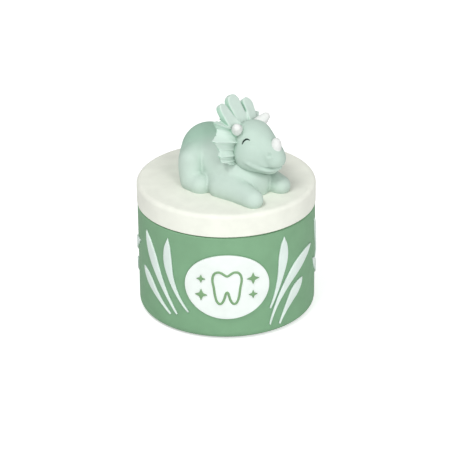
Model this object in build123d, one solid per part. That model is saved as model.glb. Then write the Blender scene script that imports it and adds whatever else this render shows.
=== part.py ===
from build123d import *
import os
from math import asin, cos, degrees, hypot, pi, radians, sin

# A round keepsake box for milk teeth, in millimetres.
# The pot stands on z = 0 with its oval label facing -Y. A lift-off lid closes it, and a young
# horned dinosaur lies on the lid, its head towards +X and -Y.
# Every length and angle that can be chosen by itself is named here. A name that ends in share
# is a fraction of the size it is multiplied by.

# Pot
pot_radius = 29.75
pot_height = 37.0
pot_wall = 3.2
pot_floor = 3.6
pot_foot_round = 2.4
pot_lip_round = 0.4
cavity_floor_round = 3.0

# Pad under the pot, glued into a shallow recess
pad_radius = 24.0
pad_thickness = 1.2
pad_recess_depth = 0.8
pad_edge_gap = 0.4

# Lid
lid_overhang = 0.15
lid_thickness = 8.2
lid_plate = 3.4
lid_top_round = 1.5
seam_gap = 0.4
seam_depth = 1.4
lid_rim_round = 0.3
spigot_depth = 4.5
spigot_wall = 2.4
spigot_play = 0.4
spigot_edge_round = 0.5
lid_recess_round = 1.6

# Oval label, raised on the front of the pot
label_width = 28.2
label_height = 23.2
label_centre_height = 19.9
label_relief = 0.7

# Tooth drawn on the label with a raised line, and the stars beside it
tooth_width = 9.6
tooth_height = 11.6
tooth_line = 0.75
star_radius = 2.1
small_star_radius = 1.5
star_points = 4
star_inner_share = 0.40
star_spread = 8.6
star_rise = 2.9
emblem_relief = 0.35

# Raised leaves
leaf_relief = 0.5
leaf_width = 3.9
leaf_stem_width = 0.55
# Where the tufts stand round the pot from the front, and how far from that their groups lie
front_left_turn = -33.7
front_right_turn = 28.0
side_right_turn = 111.25
side_left_turn = -118.75
side_half_spread = 5.25
back_turn = 182.0
back_half_spread = 7.0

# Figure: the way it faces on the lid, and its rump's place behind the lid's centre
figure_turn = -46.0
rump_setback = 6.9
rump_side = -0.8

# Torso: balls drawn together, the chest placed from the rump forward, breast and neck from the chest
rump_radius = 9.5
rump_lift = 8.0
chest_radius = 9.4
chest_lift = 4.8
chest_reach = 14.1
chest_side = -1.3
breast_radius = 7.8
breast_reach = 4.2
breast_lift = 2.8
neck_base_radius = 7.0
neck_radius = 4.6
neck_reach = 3.6
neck_side = 1.6
neck_rise = 6.2

# Head: the skull is placed from the chest and turned to the figure's left
skull_reach = 5.3
skull_side = 1.7
skull_rise = 13.0
head_turn = 10.0

# The head's own frame starts at the skull's centre. The snout, beak, cheeks and jaw lie below.
skull_radius = 6.6
snout_radius = 4.3
snout_reach = 6.7
snout_drop = 3.8
beak_radius = 3.7
beak_reach = 8.4
beak_drop = 4.8
cheek_radius = 6.2
cheek_forward = 0.8
cheek_side = 2.1
cheek_drop = 4.1
jaw_tip_radius = 3.6
jaw_reach = 6.4
jaw_drop = 7.2
jaw_tip_side = 0.4

# Mouth line, from its corner under the cheek to its front
mouth_corner_reach = 2.7
mouth_corner_drop = 4.4
mouth_middle_reach = 7.0
mouth_middle_drop = 7.3
mouth_front_reach = 13.4
mouth_front_drop = 6.6
mouth_opening = 0.5
mouth_depth = 0.6

# Nostrils
nostril_radius = 0.6
nostril_reach = 8.9
nostril_side = 3.6
nostril_drop = 2.5

# Eyes: closed, a curved line let into each side of the skull
eye_reach = 1.1
eye_side = 6.2
eye_rise = 1.5
eye_width = 2.6
eye_arch = 0.95
eye_line = 0.5
eye_inlay_depth = 0.4
eye_slant = 31.0

# Horns, each from its root inside the head to the centre of its round tip
brow_horn_radius = 1.9
brow_horn_tip_radius = 1.3
brow_horn_root_setback = 2.3
brow_horn_root_side = 5.0
brow_horn_root_rise = 3.7
brow_horn_tip_setback = 0.9
brow_horn_tip_side = 7.3
brow_horn_tip_rise = 5.5
nose_horn_radius = 1.85
nose_horn_tip_radius = 1.5
nose_horn_root_reach = 8.8
nose_horn_root_drop = 1.5
nose_horn_tip_reach = 9.05
nose_horn_tip_rise = 0.85

# Frill: three upright plates, and a pleated web under them on each side. Places are in the
# head's own frame. The left half mirrors the right one and leans out about a line in the head.
frill_lean = 19.6
frill_lean_drop = 3.0
plate_thickness = 1.9
middle_plate_width = 6.0
middle_plate_root_width = 5.6
middle_plate_root_setback = 3.4
middle_plate_root_side = 2.0
middle_plate_root_rise = 0.5
middle_plate_tip_setback = 11.2
middle_plate_tip_side = 2.3
middle_plate_tip_rise = 11.9
side_plate_width = 4.9
side_plate_root_width = 5.4
side_plate_root_setback = 3.5
side_plate_root_side = 2.8
side_plate_root_rise = 2.4
side_plate_tip_setback = 10.2
side_plate_tip_side = 4.6
side_plate_tip_rise = 11.1
web_reach = 15.0
web_thickness = 1.2
web_edge_thickness = 0.5
web_ridge = 1.4
web_root_share = 0.25

# Hind legs, placed from the rump's centre, each ball at its own height on the lid
hip_radius = 4.0
hip_forward = 0.5
hip_side = 4.2
hip_lift = 11.6
knee_radius = 4.1
knee_forward = 1.5
knee_side = 10.3
knee_lift = 7.2
heel_radius = 3.6
heel_forward = 3.7
heel_side = 12.5
heel_lift = 2.2
toe_radius = 3.5
toe_forward = 8.1
toe_side = 12.4
toe_lift = 2.1

# Forelegs, placed from the chest's centre, each ball at its own height on the lid.
# The right paw lies ahead of the left one.
shoulder_radius = 6.3
shoulder_back = 0.6
shoulder_side = 3.7
shoulder_lift = 3.6
elbow_radius = 4.0
elbow_forward = 0.8
elbow_side = 8.2
elbow_lift = 2.6
paw_radius = 3.2
paw_forward = 13.8
paw_side = 7.4
paw_lift = 2.0
paw_stagger = 0.9

# Tail, curled round the figure's left side: places behind the rump's centre, to its left and up
tail_root_radius = 6.0
tail_root_back = 6.5
tail_root_side = 1.0
tail_root_lift = 5.0
tail_bend_radius = 4.4
tail_bend_back = 7.5
tail_bend_side = 9.8
tail_bend_lift = 3.6
tail_turn_radius = 2.9
tail_turn_back = 4.0
tail_turn_side = 18.0
tail_turn_lift = 2.5
tail_tip_radius = 1.8
tail_tip_forward = 1.6
tail_tip_side = 21.2
tail_tip_lift = 1.7

# One overrun serves all cuts.
cut_overrun = 1.0

# Heights and radii that follow
pot_bottom_z = pad_thickness - pad_recess_depth
seam_z = pot_bottom_z + pot_height
lid_top_z = seam_z + lid_thickness
lid_radius = pot_radius + lid_overhang
cavity_radius = pot_radius - pot_wall
spigot_radius = cavity_radius - spigot_play
lid_recess_radius = spigot_radius - spigot_wall

# Leaves: the angle of the base round the pot from the front, the height of the base, the angle
# gained up to the tip, the height of the tip, the bend of the midline and the width.
leaf_places_share = {
    "left_tall": (0.0, 0.19, -28.0, 0.89, 0.03, 1.0),
    "left_inner": (8.4, 0.24, -14.6, 0.92, 0.12, 0.88),
    "left_low": (-5.1, 0.17, -27.0, 0.515, 0.02, 0.82),
    "right_inner": (0.2, 0.265, 10.6, 0.93, -0.06, 0.95),
    "right_tall": (0.0, 0.10, 40.0, 0.71, 0.13, 1.1),
    "right_low": (7.2, 0.08, 21.0, 0.445, 0.06, 1.0),
}
left_leaves = ("left_tall", "left_inner", "left_low")
right_leaves = ("right_inner", "right_tall", "right_low")
# Each tuft: the angle of its left-leaning and of its right-leaning group of leaves
tufts = {
    "leaves_front_left": [(front_left_turn, left_leaves)],
    "leaves_front_right": [(front_right_turn, right_leaves)],
    "leaves_side_right": [
        (side_right_turn - side_half_spread, left_leaves),
        (side_right_turn + side_half_spread, right_leaves),
    ],
    "leaves_side_left": [
        (side_left_turn - side_half_spread, left_leaves),
        (side_left_turn + side_half_spread, right_leaves),
    ],
    "leaves_back": [
        (back_turn - back_half_spread, ("left_inner",)),
        (back_turn + back_half_spread, ("right_inner",)),
    ],
}
# The tooth's ellipses, two for its crown, two for its roots and one between: each centre and each
# half axis over half the tooth's width and height
tooth_lobe_share = (
    (-0.48, 0.38, 0.52, 0.62),
    (0.48, 0.38, 0.52, 0.62),
    (-0.46, -0.36, 0.40, 0.64),
    (0.46, -0.36, 0.40, 0.64),
    (0.0, 0.20, 0.92, 0.58),
)
# Half the leaf's width at stations along its midline, in shares of its width
leaf_station_share = (0.0, 0.22, 0.47, 0.70, 0.88)
leaf_half_width_share = (0.0, 0.09, 0.29, 0.50, 0.34)

# Ribs of the frill's right web from the top down: where each starts and ends over the web's reach,
# and how far it stands out over the web's ridge
rib_share = (
    ((-0.200, -0.220, 0.273), (-0.573, -0.433, 0.487), 0.07),
    ((-0.200, -0.260, 0.200), (-0.560, -0.713, 0.487), 0.93),
    ((-0.187, -0.280, 0.153), (-0.507, -0.647, 0.260), 0.21),
    ((-0.173, -0.300, -0.013), (-0.453, -0.900, 0.133), 1.00),
    ((-0.153, -0.327, -0.207), (-0.400, -0.747, -0.087), 0.21),
    ((-0.147, -0.340, -0.293), (-0.327, -0.860, -0.200), 0.86),
    ((-0.133, -0.360, -0.407), (-0.253, -0.840, -0.333), 0.29),
    ((-0.093, -0.353, -0.493), (-0.147, -0.693, -0.427), 0.14),
)


def tapered_capsule(start, end, start_radius, end_radius):
    """The hull of two balls, as a solid of revolution about the line between them."""
    start, end = Vector(*start), Vector(*end)
    span = (end - start).length
    lean = asin((start_radius - end_radius) / span)
    half_turn = pi / 2

    def on_ball(height, radius, angle):
        return (radius * cos(angle), height + radius * sin(angle))

    start_low = on_ball(0, start_radius, -half_turn)
    start_side = on_ball(0, start_radius, lean)
    end_side = on_ball(span, end_radius, lean)
    end_top = on_ball(span, end_radius, half_turn)
    start_middle = on_ball(0, start_radius, (lean - half_turn) / 2)
    end_middle = on_ball(span, end_radius, (lean + half_turn) / 2)
    outline = (
        ThreePointArc(start_low, start_middle, start_side)
        + Line(start_side, end_side)
        + ThreePointArc(end_side, end_middle, end_top)
        + Line(end_top, start_low)
    )
    profile = Plane.XZ * make_face(outline)
    along = Plane(origin=start, z_dir=end - start)
    return along.location * revolve(profile, Axis.Z)


def spans_between(balls):
    """The hulls of each two neighbours in a row of balls, each a centre and a radius."""
    return [
        tapered_capsule(start, end, start_radius, end_radius)
        for (start, start_radius), (end, end_radius) in zip(balls, balls[1:])
    ]


def above(solid, height, reach):
    """What lies above a level, inside a block that reaches past the solid."""
    block = Pos(0, 0, height) * Box(reach, reach, reach, align=(Align.CENTER, Align.CENTER, Align.MIN))
    return solid & block


# Pot, pad and lid
def make_pot():
    body = Pos(0, 0, pot_bottom_z) * Cylinder(
        pot_radius, pot_height, align=(Align.CENTER, Align.CENTER, Align.MIN)
    )
    body = fillet(body.edges().group_by(Axis.Z)[0], pot_foot_round)
    body = fillet(body.edges().group_by(Axis.Z)[-1], pot_lip_round)
    cavity = Pos(0, 0, pot_bottom_z + pot_floor) * Cylinder(
        cavity_radius, pot_height, align=(Align.CENTER, Align.CENTER, Align.MIN)
    )
    cavity = fillet(cavity.edges().group_by(Axis.Z)[0], cavity_floor_round)
    recess = Pos(0, 0, pot_bottom_z - cut_overrun) * Cylinder(
        pad_radius + pad_edge_gap,
        pad_recess_depth + cut_overrun,
        align=(Align.CENTER, Align.CENTER, Align.MIN),
    )
    return body - cavity - recess


def make_pad():
    return Cylinder(pad_radius, pad_thickness, align=(Align.CENTER, Align.CENTER, Align.MIN))


def make_lid():
    """The cap, with a low seat under it that leaves a fine gap along the seam, and its collar."""
    cap = Pos(0, 0, lid_top_z) * Cylinder(
        lid_radius, lid_thickness - seam_gap, align=(Align.CENTER, Align.CENTER, Align.MAX)
    )
    cap = fillet(cap.edges().group_by(Axis.Z)[-1], lid_top_round)
    cap = fillet(cap.edges().group_by(Axis.Z)[0], lid_rim_round)
    seat = Pos(0, 0, seam_z) * Cylinder(
        pot_radius - seam_depth, lid_thickness / 2, align=(Align.CENTER, Align.CENTER, Align.MIN)
    )
    spigot = Pos(0, 0, seam_z - spigot_depth) * Cylinder(
        spigot_radius, spigot_depth + cut_overrun, align=(Align.CENTER, Align.CENTER, Align.MIN)
    )
    spigot = fillet(spigot.edges().group_by(Axis.Z)[0], spigot_edge_round)
    recess_top = lid_top_z - lid_plate
    recess_height = recess_top - seam_z + spigot_depth + cut_overrun
    recess = Pos(0, 0, recess_top) * Cylinder(
        lid_recess_radius, recess_height, align=(Align.CENTER, Align.CENTER, Align.MAX)
    )
    recess = fillet(recess.edges().group_by(Axis.Z)[-1], lid_recess_round)
    return cap + seat + spigot - recess


# Reliefs on the pot
def on_wall(outline, angle, inner_radius, relief):
    """An outline drawn flat in XZ, raised on a round wall of that radius at an angle from the front."""
    reach = inner_radius + relief + cut_overrun
    prism = extrude(Plane.XZ * outline, reach)
    wall = Cylinder(inner_radius + relief, pot_height) - Cylinder(inner_radius, pot_height)
    wall = Pos(0, 0, seam_z - pot_height / 2) * wall
    return Rot(0, 0, angle) * (prism & wall)


def flat_place(arc_length, radius):
    """Where a place that far round the wall lies on the flat drawing."""
    return radius * sin(arc_length / radius)


def make_label():
    oval = Pos(0, label_centre_height) * Ellipse(label_width / 2, label_height / 2)
    return on_wall(oval, 0, pot_radius, label_relief)


def tooth_form(taken_in=0.0):
    """A milk tooth, or the same one smaller all round by a depth: ellipses drawn together."""
    half_width, half_height = tooth_width / 2, tooth_height / 2
    lobes = [
        Pos(half_width * x, label_centre_height + half_height * z)
        * Ellipse(half_width * reach - taken_in, half_height * rise - taken_in)
        for x, z, reach, rise in tooth_lobe_share
    ]
    return lobes[0] + lobes[1:]


def make_tooth():
    """The line round the tooth."""
    ring = pot_radius + label_relief
    outer = on_wall(tooth_form(), 0, ring, emblem_relief)
    inner = on_wall(tooth_form(tooth_line), 0, ring, emblem_relief)
    return outer - inner


def star_outline(radius):
    """A star, its hollows at a share of its radius."""
    points = []
    for step in range(2 * star_points):
        reach = radius * (star_inner_share if step % 2 else 1)
        angle = pi * step / star_points
        points.append((reach * cos(angle), reach * sin(angle)))
    return make_face(Polyline(*points, close=True))


def make_stars():
    high = label_centre_height + star_rise
    low = label_centre_height - star_rise
    places = ((star_spread, high, star_radius), (-star_spread, low, star_radius))
    small = ((star_spread, low, small_star_radius), (-star_spread, high, small_star_radius))
    ring = pot_radius + label_relief
    stars = [
        on_wall(Pos(0, z) * star_outline(radius), degrees(side / ring), ring, emblem_relief)
        for side, z, radius in (*places, *small)
    ]
    return Compound(children=[solid for star in stars for solid in star.solids()])


def leaf_outline(name, radius):
    """One leaf drawn flat, its base at the drawing's zero angle: a thin stem that swells to the blade."""
    base_turn, base_share, turn, tip_share, bend_share, width_share = leaf_places_share[name]
    base = (radius * radians(base_turn), pot_bottom_z + pot_height * base_share)
    tip = (base[0] + radius * radians(turn), pot_bottom_z + pot_height * tip_share)
    run, rise = tip[0] - base[0], tip[1] - base[1]
    length = hypot(run, rise)
    across = (rise / length, -run / length)

    def place(station, side):
        sag = 4 * bend_share * length * station * (1 - station)
        out = side - sag
        arc = base[0] + run * station + across[0] * out
        return (flat_place(arc, radius), base[1] + rise * station + across[1] * out)

    stem = leaf_stem_width / 2
    blade = leaf_width * width_share - leaf_stem_width
    halves = [stem + blade * share for share in leaf_half_width_share]
    right = [place(t, half) for t, half in zip(leaf_station_share, halves)]
    left = [place(t, -half) for t, half in zip(leaf_station_share, halves)]
    point = place(1, 0)
    edge = Spline(*right, point) + Spline(point, *left[::-1]) + Line(left[0], right[0])
    return make_face(edge)


def make_tuft(groups):
    leaves = []
    for angle, names in groups:
        for name in names:
            leaf = on_wall(leaf_outline(name, pot_radius), angle, pot_radius, leaf_relief)
            leaves.extend(leaf.solids())
    return Compound(children=leaves)


# Figure. Its own frame has +X forward, +Y to its left and the lid's top at zero height.
rump = Vector(-rump_setback, rump_side, rump_lift)
chest = Vector(chest_reach - rump_setback, chest_side, chest_lift)
breast = Vector(chest.X + breast_reach, chest_side, breast_lift)
neck = chest + Vector(neck_reach, neck_side, neck_rise)
skull = chest + Vector(skull_reach, skull_side, skull_rise)
figure_reach = 4 * (rump_radius + chest_reach)
figure_place = Pos(0, 0, lid_top_z) * Rot(0, 0, figure_turn)
head_place = Pos(skull) * Rot(0, 0, head_turn)


def lying(spans):
    """One form over the spans, flat where it lies on the lid."""
    cut = [above(span, 0, figure_reach) for span in spans]
    return cut[0] + cut[1:]


def make_torso():
    body = spans_between([(rump, rump_radius), (chest, chest_radius), (breast, breast_radius)])
    throat = spans_between([(chest, neck_base_radius), (neck, neck_radius)])
    return lying(body + throat)


def make_head_form(taken_in=0.0):
    """The head without its mouth and nostrils, or the same form smaller by a depth."""
    top = (Vector(0, 0, 0), skull_radius - taken_in)
    snout = (Vector(snout_reach, 0, -snout_drop), snout_radius - taken_in)
    beak = (Vector(beak_reach, 0, -beak_drop), beak_radius - taken_in)
    spans = spans_between([top, snout, beak])
    for side in (-1, 1):
        cheek = (Vector(cheek_forward, side * cheek_side, -cheek_drop), cheek_radius - taken_in)
        jaw = (Vector(jaw_reach, side * jaw_tip_side, -jaw_drop), jaw_tip_radius - taken_in)
        spans += spans_between([cheek, jaw])
    return spans[0] + spans[1:]


def make_mouth(head_form):
    """The groove of the mouth: a curved slab, kept only near the head's surface."""
    corner = (mouth_corner_reach, -mouth_corner_drop)
    middle = (mouth_middle_reach, -mouth_middle_drop)
    front = (mouth_front_reach, -mouth_front_drop)

    def raised(point, height):
        return (point[0], point[1] + height)

    half = mouth_opening / 2
    edge = (
        ThreePointArc(corner, raised(middle, half), raised(front, half))
        + Line(raised(front, half), raised(front, -half))
        + ThreePointArc(raised(front, -half), raised(middle, -half), corner)
    )
    slab = extrude(Plane.XZ * make_face(edge), cheek_side + cheek_radius, both=True)
    return (slab & head_form) - make_head_form(mouth_depth)


def make_eye_prism(side):
    """A bar along the eye's curved line, running through the skull's surface."""
    out = Vector(eye_reach, side * eye_side, eye_rise).normalized()
    forward = Vector(1, 0, 0)
    along = (forward - out * forward.dot(out)).normalized()
    half = eye_width / 2
    arch = ThreePointArc((-half, 0), (0, eye_arch), (half, 0))
    stroke = Rot(0, 0, eye_slant) * Pos(0, -eye_arch / 2) * trace(arch, eye_line)
    if side > 0:
        stroke = mirror(stroke, about=Plane.XZ)
    plane = Plane(origin=out * skull_radius, x_dir=along, z_dir=out)
    return extrude(plane * stroke, eye_inlay_depth * 2, both=True)


def make_brow_horn(side):
    root = (-brow_horn_root_setback, side * brow_horn_root_side, brow_horn_root_rise)
    tip = (-brow_horn_tip_setback, side * brow_horn_tip_side, brow_horn_tip_rise)
    return tapered_capsule(root, tip, brow_horn_radius, brow_horn_tip_radius)


def make_nose_horn():
    root = (nose_horn_root_reach, 0, -nose_horn_root_drop)
    tip = (nose_horn_tip_reach, 0, nose_horn_tip_rise)
    return tapered_capsule(root, tip, nose_horn_radius, nose_horn_tip_radius)


def make_plate(root, tip, root_width, width):
    """An upright plate of the frill: a flat tongue with a round end."""
    along = tip - root
    straight = along.length - width / 2
    tongue = make_face(
        Polyline(
            (0, -root_width / 2),
            (straight, -width / 2),
            (straight, width / 2),
            (0, root_width / 2),
            close=True,
        )
    )
    tongue += Pos(straight, 0) * Circle(width / 2)
    front = Vector(1, 0, 0)
    place = Plane(origin=root, x_dir=along, z_dir=front - along * (front.dot(along) / along.dot(along)))
    return extrude(place * tongue, plate_thickness / 2, both=True)


def triangle(*corners):
    return Face(Wire.make_polygon(corners, close=True))


def strip(first, second):
    """Triangles between two rows of the same number of points."""
    faces = []
    for index in range(len(first) - 1):
        faces.append(triangle(first[index], first[index + 1], second[index]))
        faces.append(triangle(second[index], first[index + 1], second[index + 1]))
    return faces


def make_web():
    """The frill's right web: ribs that run out to points, with flat faces between them."""
    rows = ([], [], [], [])
    for root_share, tip_share, ridge_share in rib_share:
        root, tip = Vector(*root_share) * web_reach, Vector(*tip_share) * web_reach
        inner = root + (root - tip) * web_root_share
        ridge = Vector(web_ridge * ridge_share, 0, 0)
        rows[0].append(inner + ridge)
        rows[1].append(tip + ridge)
        rows[2].append(tip - Vector(web_edge_thickness, 0, 0))
        rows[3].append(inner - Vector(web_thickness, 0, 0))
    faces = [face for first, second in zip(rows, rows[1:] + rows[:1]) for face in strip(first, second)]
    for end in (0, -1):
        corners = [row[end] for row in rows]
        faces += [triangle(*corners[:3]), triangle(corners[0], corners[2], corners[3])]
    return Solid(Shell(faces))


def make_frill():
    """The middle plate, and the side plate and web on the right and on the left."""
    middle = make_plate(
        Vector(-middle_plate_root_setback, middle_plate_root_side, middle_plate_root_rise),
        Vector(-middle_plate_tip_setback, middle_plate_tip_side, middle_plate_tip_rise),
        middle_plate_root_width,
        middle_plate_width,
    )
    right = make_plate(
        Vector(-side_plate_root_setback, -side_plate_root_side, side_plate_root_rise),
        Vector(-side_plate_tip_setback, -side_plate_tip_side, side_plate_tip_rise),
        side_plate_root_width,
        side_plate_width,
    )
    right += make_web()
    lean = Pos(0, 0, -frill_lean_drop) * Rot(-frill_lean, 0, 0) * Pos(0, 0, frill_lean_drop)
    return middle + right + lean * mirror(right, about=Plane.XZ)


def make_hind_leg(side):
    places = (
        (hip_forward, hip_side, hip_lift, hip_radius),
        (knee_forward, knee_side, knee_lift, knee_radius),
        (heel_forward, heel_side, heel_lift, heel_radius),
        (toe_forward, toe_side, toe_lift, toe_radius),
    )
    balls = [
        (Vector(rump.X + forward, rump.Y + side * out, lift), radius)
        for forward, out, lift, radius in places
    ]
    return lying(spans_between(balls))


def make_foreleg(side):
    places = (
        (-shoulder_back, shoulder_side, shoulder_lift, shoulder_radius),
        (elbow_forward, elbow_side, elbow_lift, elbow_radius),
        (paw_forward - side * paw_stagger, paw_side, paw_lift, paw_radius),
    )
    balls = [
        (Vector(chest.X + forward, chest.Y + side * out, lift), radius)
        for forward, out, lift, radius in places
    ]
    return lying(spans_between(balls))


def make_tail():
    places = (
        (-tail_root_back, tail_root_side, tail_root_lift, tail_root_radius),
        (-tail_bend_back, tail_bend_side, tail_bend_lift, tail_bend_radius),
        (-tail_turn_back, tail_turn_side, tail_turn_lift, tail_turn_radius),
        (tail_tip_forward, tail_tip_side, tail_tip_lift, tail_tip_radius),
    )
    balls = [(Vector(rump.X + forward, side, lift), radius) for forward, side, lift, radius in places]
    return lying(spans_between(balls))


def make_figure():
    """The figure's pieces, the smaller of each touching pair cut to the larger."""
    form = make_head_form()
    head_form = head_place * form
    frill = head_place * (make_frill() - form)
    torso = make_torso() - head_form - frill
    eye_core = make_head_form(eye_inlay_depth)
    eyes = [head_place * ((make_eye_prism(side) & form) - eye_core) for side in (-1, 1)]
    brow_horns = [head_place * (make_brow_horn(side) - form) - frill for side in (-1, 1)]
    nose_horn = head_place * (make_nose_horn() - form)
    head = head_form - head_place * make_mouth(form) - eyes[0] - eyes[1]
    for side in (-1, 1):
        place = (nostril_reach, side * nostril_side, -nostril_drop)
        head -= head_place * Pos(place) * Sphere(nostril_radius)
    hind_legs = [make_hind_leg(side) - torso for side in (-1, 1)]
    forelegs = [
        make_foreleg(side) - torso - head_form - frill - leg for side, leg in zip((-1, 1), hind_legs)
    ]
    return {
        "torso": torso,
        "head": head,
        "frill": frill,
        "brow_horn_right": brow_horns[0],
        "brow_horn_left": brow_horns[1],
        "nose_horn": nose_horn,
        "eye_right": eyes[0],
        "eye_left": eyes[1],
        "hind_leg_right": hind_legs[0],
        "hind_leg_left": hind_legs[1],
        "foreleg_right": forelegs[0],
        "foreleg_left": forelegs[1],
        "tail": make_tail() - torso - hind_legs[1],
    }


os.makedirs("parts", exist_ok=True)
parts = {
    "pot": make_pot(),
    "base_pad": make_pad(),
    "lid": make_lid(),
    "oval_label": make_label(),
    "tooth_emblem": make_tooth(),
    "emblem_stars": make_stars(),
}
for name, groups in tufts.items():
    parts[name] = make_tuft(groups)
for name, piece in make_figure().items():
    parts[name] = figure_place * piece
for name, piece in parts.items():
    export_step(piece, f"parts/{name}.step")
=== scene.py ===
"""A keepsake box for milk teeth, dressed over its solid model: raised label and leaves, the young
dinosaur lying on the lid, the finishes of the castings and the stage they stand on."""

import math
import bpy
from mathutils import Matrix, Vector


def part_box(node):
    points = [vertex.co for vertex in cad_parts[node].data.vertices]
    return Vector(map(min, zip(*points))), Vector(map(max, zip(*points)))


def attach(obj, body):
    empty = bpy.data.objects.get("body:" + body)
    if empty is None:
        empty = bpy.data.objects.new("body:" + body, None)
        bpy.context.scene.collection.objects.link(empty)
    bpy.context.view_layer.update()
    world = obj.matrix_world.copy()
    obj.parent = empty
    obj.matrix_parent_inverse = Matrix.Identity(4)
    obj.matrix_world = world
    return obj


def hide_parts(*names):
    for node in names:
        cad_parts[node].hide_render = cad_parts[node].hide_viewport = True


bl_info = {
    "name": "Milk Tooth Box",
    "version": (1, 0, 0),
    "blender": (4, 5, 0),
    "location": "3D View > Sidebar > Tooth Box",
    "description": "Builds the leaves, label, figure and finishes of a milk tooth box",
    "category": "Add Mesh",
}

import bmesh
import bpy
from bpy.props import FloatProperty, FloatVectorProperty, IntProperty, PointerProperty
from mathutils import Matrix, Vector
from mathutils.bvhtree import BVHTree

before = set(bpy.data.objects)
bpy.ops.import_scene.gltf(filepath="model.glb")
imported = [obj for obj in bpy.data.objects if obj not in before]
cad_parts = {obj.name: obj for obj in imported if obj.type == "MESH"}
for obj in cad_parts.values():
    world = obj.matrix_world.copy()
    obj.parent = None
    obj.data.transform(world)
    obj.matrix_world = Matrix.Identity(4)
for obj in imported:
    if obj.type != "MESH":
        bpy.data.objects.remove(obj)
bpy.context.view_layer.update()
POT_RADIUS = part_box("pot")[1].x
POT_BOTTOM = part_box("pot")[0].z
POT_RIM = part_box("pot")[1].z
POT_HEIGHT = POT_RIM - POT_BOTTOM
LID_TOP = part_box("torso")[0].z
MM = 0.001

# How far raised work reaches into what carries it, and the distance at which points that meet merge
SINK = 0.1 * MM
MEETING = 0.001 * MM

# Leaves: the angle of the base in its tuft, the height of the base, the angle gained up to the tip,
# the height of the tip, the bend of the midline and the width. Angles are in degrees. Heights, bend
# and width are shares of the pot's height, the leaf's length and the leaf width.
LEAVES = {
    "left_tall": (0.0, 0.19, -28.0, 0.89, 0.03, 1.0),
    "left_inner": (8.4, 0.24, -14.6, 0.92, 0.12, 0.88),
    "left_low": (-5.1, 0.17, -27.0, 0.515, 0.02, 0.82),
    "right_inner": (0.2, 0.265, 10.6, 0.93, -0.06, 0.95),
    "right_tall": (0.0, 0.10, 40.0, 0.71, 0.13, 1.1),
    "right_low": (7.2, 0.08, 21.0, 0.445, 0.06, 1.0),
}
LEFT_LEAVES = ("left_tall", "left_inner", "left_low")
RIGHT_LEAVES = ("right_inner", "right_tall", "right_low")
# Tufts: each group's angle round the pot from the middle of the front, in degrees, and its leaves
TUFTS = {
    "leaves_front_left": [(-33.7, LEFT_LEAVES)],
    "leaves_front_right": [(28.0, RIGHT_LEAVES)],
    "leaves_side_right": [(106.0, LEFT_LEAVES), (116.5, RIGHT_LEAVES)],
    "leaves_side_left": [(-124.0, LEFT_LEAVES), (-113.5, RIGHT_LEAVES)],
    "leaves_back": [(175.0, ("left_inner",)), (189.0, ("right_inner",))],
}
# Half the leaf's width over its full width, at stations from its base to its tip
LEAF_STATIONS = (0.0, 0.22, 0.47, 0.70, 0.88, 1.0)
LEAF_HALF_WIDTHS = (0.0, 0.09, 0.29, 0.50, 0.34, 0.0)
# The last share of a leaf, over which its stem thins out, the distance at which the points of a
# closed end merge, and the rounding of the edges as a share of the stem's width
STEM_TAPER = 0.12
LEAF_END_MERGE = 0.02 * MM
LEAF_ROUNDING = 0.3

# The right side of the tooth's line, in mm from its centre, from the dip in the crown down
TOOTH_SIDE = (
    (0.0, 3.9),
    (1.1, 4.9),
    (2.6, 5.9),
    (4.4, 5.2),
    (5.0, 2.6),
    (4.3, 0.2),
    (4.1, -2.6),
    (3.4, -5.6),
    (2.0, -6.3),
    (0.9, -4.4),
    (0.5, -2.1),
    (0.0, -1.5),
)
# Four-pointed stars in mm from the label's centre: across, up and radius. Their inner corners lie
# at a share of the radius.
STARS = ((8.6, 2.9, 2.1), (-8.6, -2.9, 2.1), (8.6, -2.9, 1.5), (-8.6, 2.9, 1.5))
STAR_WAIST = 0.42
STAR_ROUNDING = 0.1 * MM

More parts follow.
